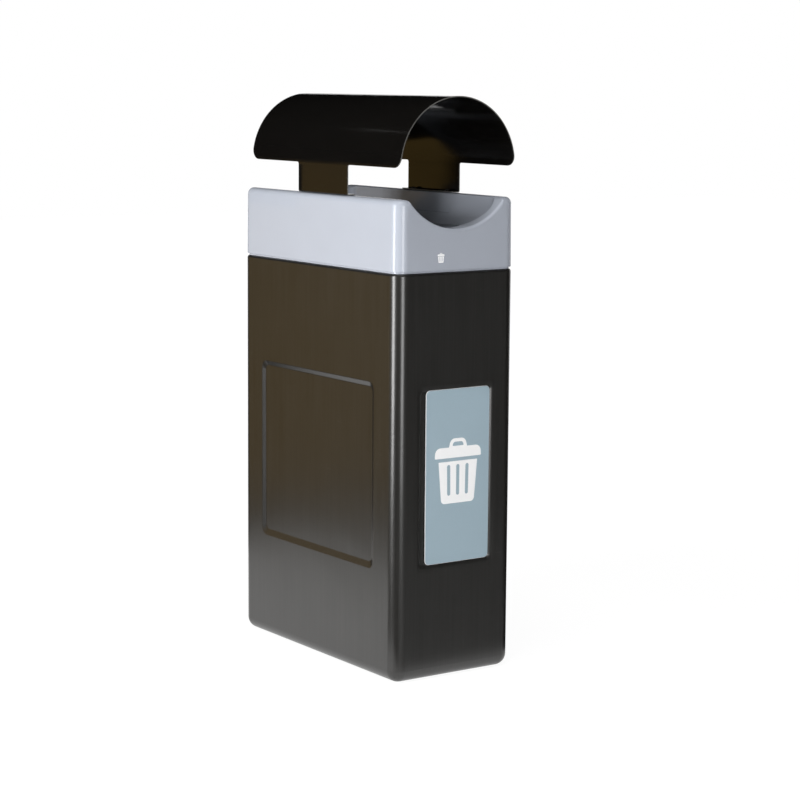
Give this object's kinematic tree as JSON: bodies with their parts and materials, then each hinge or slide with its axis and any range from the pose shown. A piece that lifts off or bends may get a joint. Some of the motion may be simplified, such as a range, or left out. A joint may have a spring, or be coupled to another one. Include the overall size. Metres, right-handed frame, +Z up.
{
  "type": "commercial trash can",
  "caption": "Slim free-standing trash can with a rear-hinged lid, scooped mouth at both ends, arched rain hood, front sign plate and an inner liner with lifting handles.",
  "frame": {"origin": "middle of the body's base, on the floor", "axes": "+Z up; the narrow front with the sign plate faces -Y, the hinges are at +Y, and +X runs across the width"},
  "size_m": [0.3112, 0.6319, 1.2421],
  "materials": {
    "body_plastic": "moulded polyethylene, fine grain, satin",
    "lid_plastic": "moulded polyethylene, smooth semi-gloss",
    "hood_enamel": "glossy black powder coat on bent sheet",
    "sign_sheet": "satin printed sign sheet",
    "foam_tape": "foam mounting tape",
    "liner_plastic": "moulded rigid liner",
    "zinc_steel": "zinc plated",
    "black_steel": "black coated steel screw"
  },
  "bodies": {
    "bin": {"bin_body": "body_plastic", "body_hinge_leaf_left": "zinc_steel", "body_hinge_leaf_right": "zinc_steel", "body_rivet_left_a": "zinc_steel", "body_rivet_left_b": "zinc_steel", "body_rivet_right_a": "zinc_steel", "body_rivet_right_b": "zinc_steel", "front_sign_plate": "sign_sheet", "hinge_pin_left": "zinc_steel", "hinge_pin_right": "zinc_steel", "liner": "liner_plastic", "sign_tape_left": "foam_tape", "sign_tape_right": "foam_tape"},
    "lid": {"hood": "hood_enamel", "hood_bolt_1": "black_steel", "hood_bolt_2": "black_steel", "hood_bolt_3": "black_steel", "hood_bolt_4": "black_steel", "hood_nut_1": "zinc_steel", "hood_nut_2": "zinc_steel", "hood_nut_3": "zinc_steel", "hood_nut_4": "zinc_steel", "hood_washer_1": "zinc_steel", "hood_washer_2": "zinc_steel", "hood_washer_3": "zinc_steel", "hood_washer_4": "zinc_steel", "lid_hinge_leaf_left": "zinc_steel", "lid_hinge_leaf_right": "zinc_steel", "lid_rivet_left_a": "zinc_steel", "lid_rivet_left_b": "zinc_steel", "lid_rivet_right_a": "zinc_steel", "lid_rivet_right_b": "zinc_steel", "lid_shell": "lid_plastic"},
    "handle_front": {"liner_handle_front": "zinc_steel"},
    "handle_rear": {"liner_handle_rear": "zinc_steel"}
  },
  "joints": [
    {"name": "lid_hinge", "type": "hinge", "parent": "bin", "child": "lid", "pos_m": [0, 0.31625, 0.87635], "axis": [-1, 0, 0], "range_deg": [0, 100]},
    {"name": "front_handle_pivot", "type": "hinge", "parent": "bin", "child": "handle_front", "pos_m": [0, -0.27, 0.8233], "axis": [1, 0, 0], "range_deg": [0, 180]},
    {"name": "rear_handle_pivot", "type": "hinge", "parent": "bin", "child": "handle_rear", "pos_m": [0, 0.27, 0.8233], "axis": [-1, 0, 0], "range_deg": [0, 180]}
  ]
}
